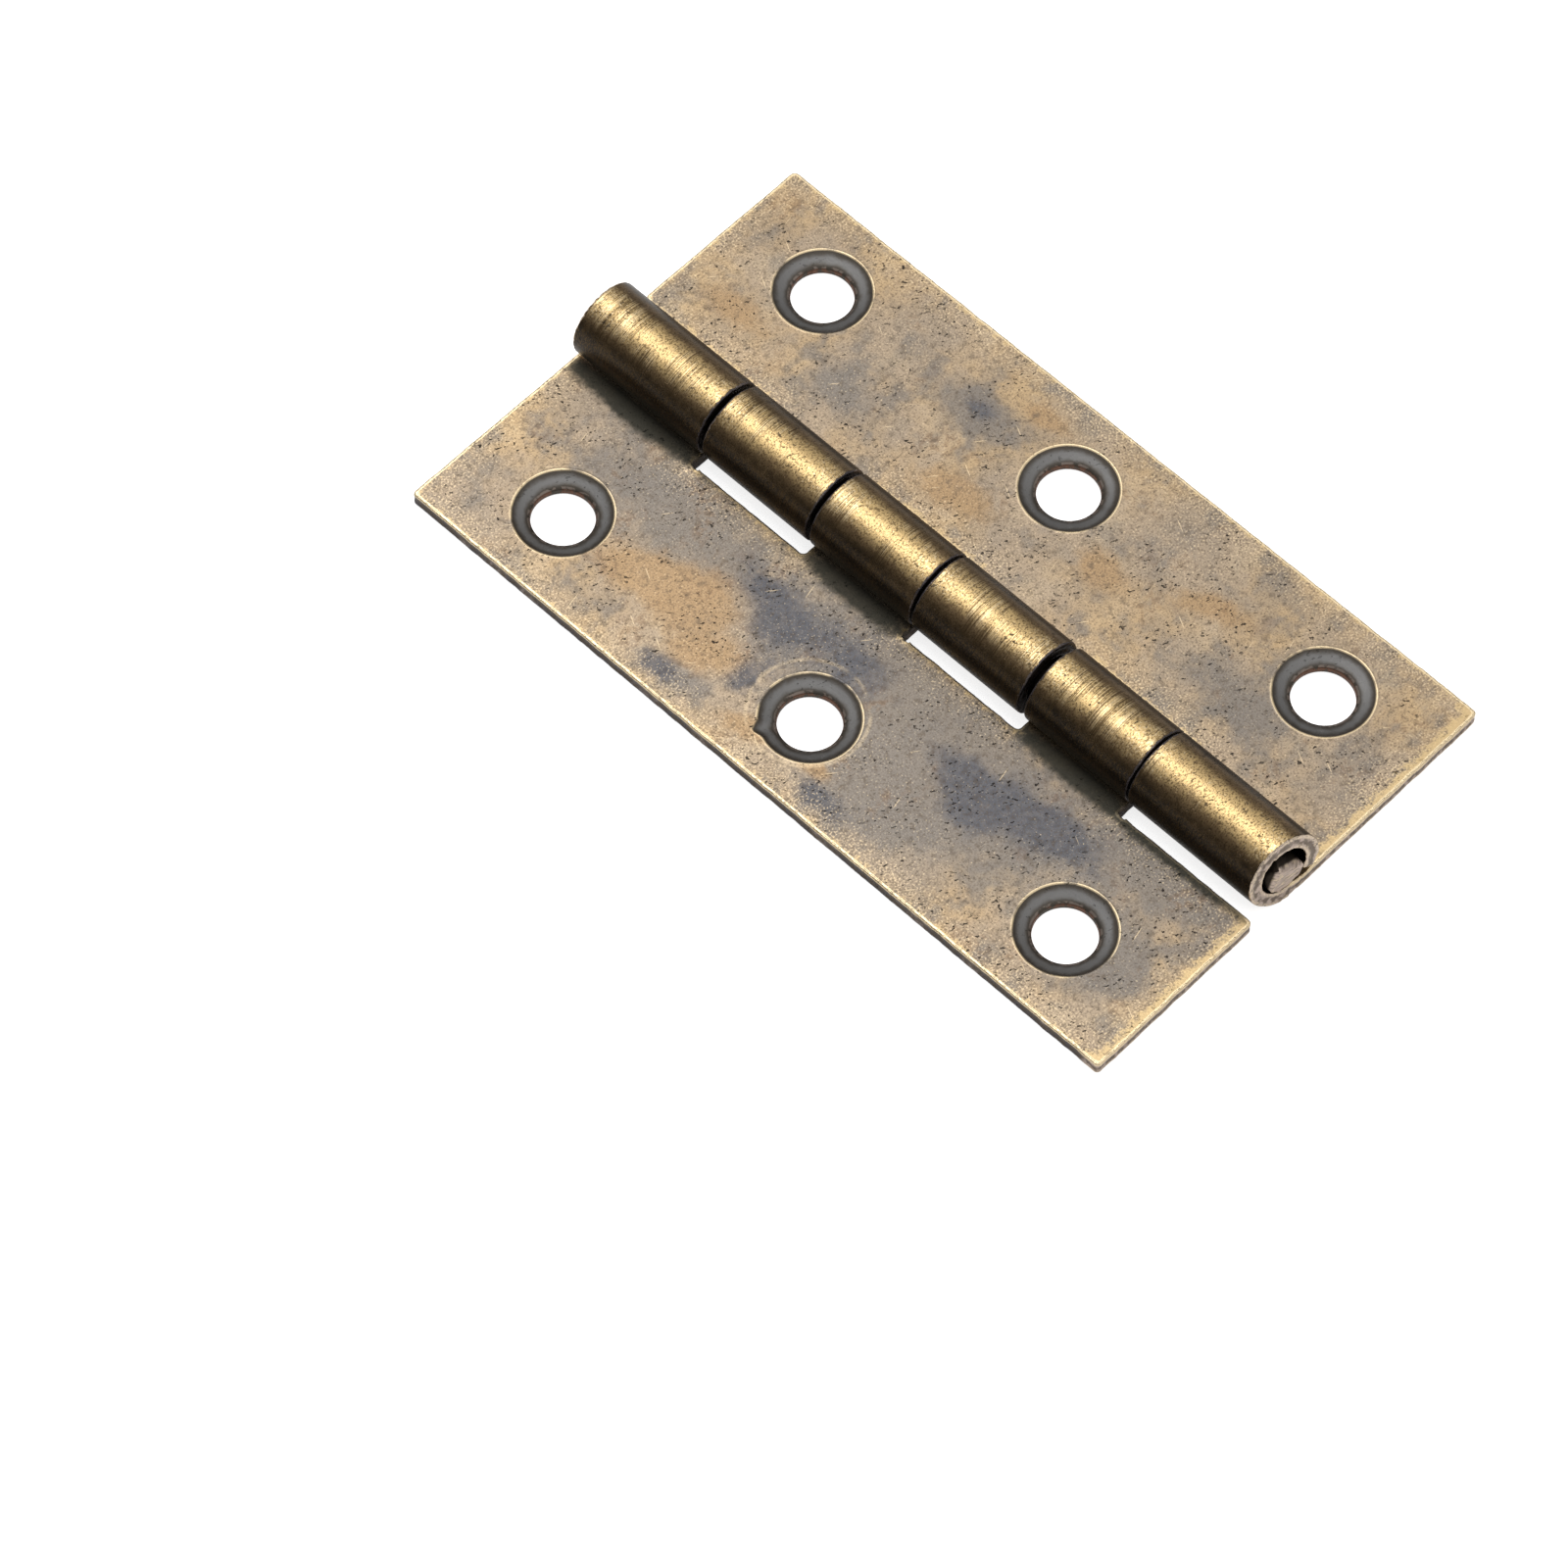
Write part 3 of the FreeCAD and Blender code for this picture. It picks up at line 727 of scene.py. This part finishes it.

    # The roll: gold where it is rubbed on top and on its outer side, then brown, and nearly black
    # between them with painted shade; darker on the +X side, also painted shade
    lines = f.noise((5.0, 0.05, 5.0), 2.0, seed + 5)
    cloud = f.noise((1.6, 5.0, 1.6), 3.0, seed + 6)
    # Painted shade: the +X side of the roll is made darker
    far_side_shade = f.math("MAXIMUM", f.math("SUBTRACT", where["X"], AXIS_X * MM), 0.0)
    rise = f.math("DIVIDE", where["Z"], MM)
    height = f.math("MAXIMUM", rise, f.math("SUBTRACT", 2 * ROLL_RADIUS, rise))
    wear_and_shade = f.weigh(-0.75, (height, 1.0), (fine, 0.5), (cloud, 0.9), (lines, 0.2),
                   (far_side_shade, -0.3 / MM))
    roll = f.paint(ROLL_SHADE, ROLL_BROWN, f.step(wear_and_shade, 4.5, 5.5))
    roll = f.paint(roll, ROLL_GOLD, f.step(wear_and_shade, 5.35, 5.95))
    speckle = f.noise((0.16, 0.11, 0.16), 1.0, seed + 11)
    roll = f.paint(roll, ROLL_LINE, f.math("MULTIPLY", f.step(speckle, 0.44, 0.70), 0.85))
    groups = f.step(f.noise((4.0, 2.6, 4.0), 2.0, seed + 8), 0.47, 0.57)
    roll = f.paint(roll, ROLL_LINE, f.both(f.step(lines, 0.51, 0.60), groups, 0.9))
    bright_lines = f.both(f.step(lines, 0.46, 0.38), groups, f.step(wear_and_shade, 5.2, 5.8), 0.45)
    roll = f.paint(roll, BRIGHT_GOLD, bright_lines)
    roll = f.paint(roll, BRIGHT_GOLD, f.both(flecks, f.step(wear_and_shade, 5.3, 5.8), 0.5))
    roll = f.paint(roll, PIT, f.math("MULTIPLY", pits, 0.7))
    joint_line = f.both(f.step(edge, 0.32, 0.08), f.step(fine, 0.42, 0.56))
    roll = f.paint(roll, ROLL_LINE, f.math("MULTIPLY", joint_line, 0.8))
    rolled = f.step(along, 0.8, -2.4)
    colour = f.paint(colour, roll, rolled)
    # Grime and painted shadow along the barrel's foot, in the crease beside the roll
    dirt_and_shade = f.step(f.weigh(0.0, (grime_and_shade, 1.0), (fine, 0.4), (mottle, 0.5)), 0.55, 1.15)
    colour = f.paint(colour, GRIME_AND_SHADE, f.both(dirt_and_shade, f.step(along, 2.2, 2.7), 0.92))

    # The sides of the cut: dark, greyer and redder at the ends, with lighter lips
    in_cut = f.step(cut, 0.4, 0.9)
    side = f.paint(SIDE, PINK_GREY, f.math("MULTIPLY", f.step(mottle, 0.50, 0.68), 0.5))
    at_high_end = f.step(where["Y"], 0.0311, 0.0318)
    ends = f.math("MAXIMUM", at_low_end, f.math("MULTIPLY", rolled, at_high_end))
    side = f.paint(side, END_GREY, f.math("MULTIPLY", ends, 0.9))
    from_middle = f.math("ABSOLUTE", f.math("SUBTRACT", depth, 0.5))
    torn = f.step(f.weigh(0.0, (fine, 1.0), (from_middle, -0.45)), 0.30, 0.48)
    side = f.paint(side, UMBER, f.math("MULTIPLY", torn, 0.8))
    lips = f.step(f.weigh(0.0, (from_middle, 1.0), (fine, 0.5)), 0.42, 0.62)
    side = f.paint(side, LIP, f.both(lips, ends, f.step(grain, 0.70, 0.45), 0.95))
    colour = f.paint(colour, side, in_cut)
    # A painted highlight, bright gold on the rounded upper edge, mostly along the far edge and the
    # ends
    edge_highlight = f.both(f.step(edge, 0.27, 0.19), f.step(depth, 0.80, 0.92), f.step(fine, 0.80, 0.60))
    far_out = f.math("MAXIMUM", f.step(along, 14.0, 16.0),
                     f.step(f.math("ABSOLUTE", where["Y"]), 0.0312, 0.0316))
    edge_highlight = f.both(edge_highlight, f.step(along, 0.0, 0.5), f.weigh(0.15, (far_out, 0.85)))
    colour = f.paint(colour, BRIGHT_GOLD, f.math("MULTIPLY", edge_highlight, 0.9))

    # The holes, above the plain underside: a dark cone, a rubbed rim and a reddish wall
    above = f.step(depth, 0.0, 0.04)
    in_cone = f.both(f.step(rim, 0.0, -0.06), above)
    half_way = f.math("ABSOLUTE", f.math("ADD", rim, 0.62))
    tool_mark = f.weigh(0.0, (half_way, -1.0), (mottle, 0.45), (fine, 0.3))
    cone = f.paint(CONE, CONE_GREY, f.step(tool_mark, -0.12, 0.30))
    colour = f.paint(colour, cone, in_cone)
    foot = f.both(f.step(rim, -1.02, -1.14), f.step(fine, 0.56, 0.44), above)
    colour = f.paint(colour, PINK_GREY, f.math("MULTIPLY", foot, 0.45))
    wall = f.step(rim, -1.20, -1.27)
    colour = f.paint(colour, HOLE_WALL, f.both(wall, f.step(fine, 0.62, 0.48), above, 0.9))
    ring = f.both(above, f.step(rim, -0.07, -0.01), f.step(rim, 0.16, 0.06),
                  f.step(mottle, 0.66, 0.46))
    colour = f.paint(colour, BRIGHT_GOLD, f.math("MULTIPLY", ring, 0.75))

    f.feed(f.shader.inputs["Base Color"], colour)
    f.shader.inputs["Metallic"].default_value = 1.0
    rough = f.weigh(0.34, (fine, 0.12), (blue_cover, 0.06), (pits, 0.25), (edge_highlight, -0.1),
                    (worn, -0.06), (in_cut, 0.12), (in_cone, 0.06), (dirt_and_shade, 0.2), (rolled, -0.08))
    f.feed(f.shader.inputs["Roughness"], rough)
    relief = f.weigh(0.0, (grain, 0.3), (fine, 0.4), (mottle, 0.4), (pits, -1.0),
                     (scratches, -0.25), (f.math("MULTIPLY", lines, rolled), 0.6),
                     (f.math("MULTIPLY", fine, in_cut), 3.0),
                     (f.math("MULTIPLY", grain, in_cut), 1.5))
    bump = f.node("Bump", {"Height": relief, "Strength": 1.0, "Distance": 0.000016})
    f.feed(f.shader.inputs["Normal"], bump.outputs["Normal"])
    return f.material


def halo_ring(f, centre, mottle):
    """The faint ring that the countersink's pilot left round a hole, a little off its centre."""
    place = tuple(MM * k for k in (*centre, WALL))
    gap = f.node("VectorMath", {0: f.place, 1: place}, operation="DISTANCE").outputs["Value"]
    line = f.math("ABSOLUTE", f.math("SUBTRACT", gap, HALO_RADIUS * MM))
    return f.both(f.step(line, 0.00022, 0.00004), f.step(mottle, 0.62, 0.42), 0.3)


def pin_finish():
    """Cropped steel wire: pinkish grey and torn on its faces, with painted shade, nearly black,
    where it lies back in the roll in the ring's shadow.
    """
    f = Finish("cropped_wire")
    fine, grain = f.noise(0.5, 3.0, 71.0), f.noise(0.12, 2.0, 72.0)
    tears = f.noise((0.9, 0.9, 0.14), 3.0, 73.0)
    setback_shade = f.field("setback_shade")
    colour = f.paint(END_GREY, LIP, f.step(fine, 0.48, 0.64))
    colour = f.paint(colour, UMBER, f.math("MULTIPLY", f.step(tears, 0.50, 0.66), 0.7))
    colour = f.paint(colour, PIT, f.math("MULTIPLY", f.step(grain, 0.60, 0.75), 0.6))
    # Painted shade on the facet and the shoulder that lie back in the roll
    colour = f.paint(colour, ROLL_SHADE, f.step(setback_shade, 0.45, 0.65))
    f.feed(f.shader.inputs["Base Color"], colour)
    f.shader.inputs["Metallic"].default_value = 1.0
    f.feed(f.shader.inputs["Roughness"], f.weigh(0.32, (fine, 0.25)))
    relief = f.weigh(0.0, (tears, 1.0), (grain, 0.3))
    bump = f.node("Bump", {"Height": relief, "Strength": 1.0, "Distance": 0.00003})
    f.feed(f.shader.inputs["Normal"], bump.outputs["Normal"])
    return f.material


# The ring lies round the left leaf's middle hole
halo_place = (AXIS_X - LEFT_HOLES + 0.19, 0.37)
left.data.materials.append(leaf_finish("left_leaf_bronze", 1.0, halo_place))
right.data.materials.append(leaf_finish("right_leaf_bronze", 31.0))
pin.data.materials.append(pin_finish())

# The floor: pale, white to the eye and in reflections, and it keeps the hinge's shadow
floor_mesh = bpy.data.meshes.new("floor")
floor_mesh.from_pydata([(-2, -2, 0), (2, -2, 0), (2, 2, 0), (-2, 2, 0)], [], [(0, 1, 2, 3)])
floor = bpy.data.objects.new("floor", floor_mesh)
floor.location.z = -0.00005
bpy.context.scene.collection.objects.link(floor)
paper = Finish("pale_floor")
paper.shader.inputs["Base Color"].default_value = (0.9, 0.9, 0.9, 1)
paper.shader.inputs["Roughness"].default_value = 0.9
paper.shader.inputs["Specular IOR Level"].default_value = 0.0
paper.shader.inputs["Emission Color"].default_value = (1, 1, 1, 1)
seen = paper.node("LightPath").outputs
seen_white = paper.weigh(0.0, (seen["Is Camera Ray"], 0.75), (seen["Is Glossy Ray"], 0.1),
                         (seen["Is Transmission Ray"], 0.1))
paper.feed(paper.shader.inputs["Emission Strength"], seen_white)
floor.data.materials.append(paper.material)

# The studio: white overhead, falling off towards the horizon and more so on the -X side
world = bpy.data.worlds.new("studio")
bpy.context.scene.world = world
world.use_nodes = True
nodes, links = world.node_tree.nodes, world.node_tree.links
direction = nodes.new("ShaderNodeSeparateXYZ")
links.new(nodes.new("ShaderNodeTexCoord").outputs["Generated"], direction.inputs[0])


def slope(value, low, high, least, most):
    """A smooth rise from least to most as value goes from low to high."""
    made = nodes.new("ShaderNodeMapRange")
    made.interpolation_type = "SMOOTHSTEP"
    for socket, number in zip(made.inputs[1:5], (low, high, least, most)):
        socket.default_value = number
    links.new(value, made.inputs[0])
    return made.outputs[0]


overhead = slope(direction.outputs["Z"], 0.15, 0.88, 0.26, 1.0)
sideways = slope(direction.outputs["X"], -1.0, 0.2, 0.32, 1.0)
studio = nodes.new("ShaderNodeMath")
studio.operation = "MULTIPLY"
links.new(overhead, studio.inputs[0])
links.new(sideways, studio.inputs[1])
links.new(studio.outputs[0], nodes["Background"].inputs["Strength"])
nodes["Background"].inputs["Color"].default_value = (1, 1, 1, 1)

# One softbox overhead, turned towards the hinge
LAMP_PLACE = Vector((0.037, 0.2, 0.56))
lamp_data = bpy.data.lights.new("softbox", "AREA")
lamp_data.shape = "RECTANGLE"
lamp_data.size = 0.32
lamp_data.size_y = 0.5
lamp_data.energy = 1.1
lamp = bpy.data.objects.new("softbox", lamp_data)
lamp.location = LAMP_PLACE
lamp.rotation_euler = (-LAMP_PLACE).to_track_quat("-Z", "Y").to_euler()
bpy.context.scene.collection.objects.link(lamp)

# The camera, at the photograph's viewing angle
RIGHT_WAY = Vector((0.69285, -0.72095, 0.01371))
DOWN_WAY = Vector((-0.61602, -0.60167, -0.50844))
FORWARD_WAY = Vector((0.37481, 0.34382, -0.86099))
CAMERA_PLACE = Vector((-195.66 + AXIS_X, -165.75, 410.33)) * MM
camera_data = bpy.data.cameras.new("camera")
camera_data.lens = 162.87
camera_data.sensor_width = 36
camera_data.clip_start = 0.01
camera = bpy.data.objects.new("camera", camera_data)
turn = Matrix((RIGHT_WAY, -DOWN_WAY, -FORWARD_WAY)).transposed().to_4x4()
camera.matrix_world = Matrix.Translation(CAMERA_PLACE) @ turn
bpy.context.scene.collection.objects.link(camera)
bpy.context.scene.camera = camera

bpy.context.scene.view_settings.view_transform = "Standard"
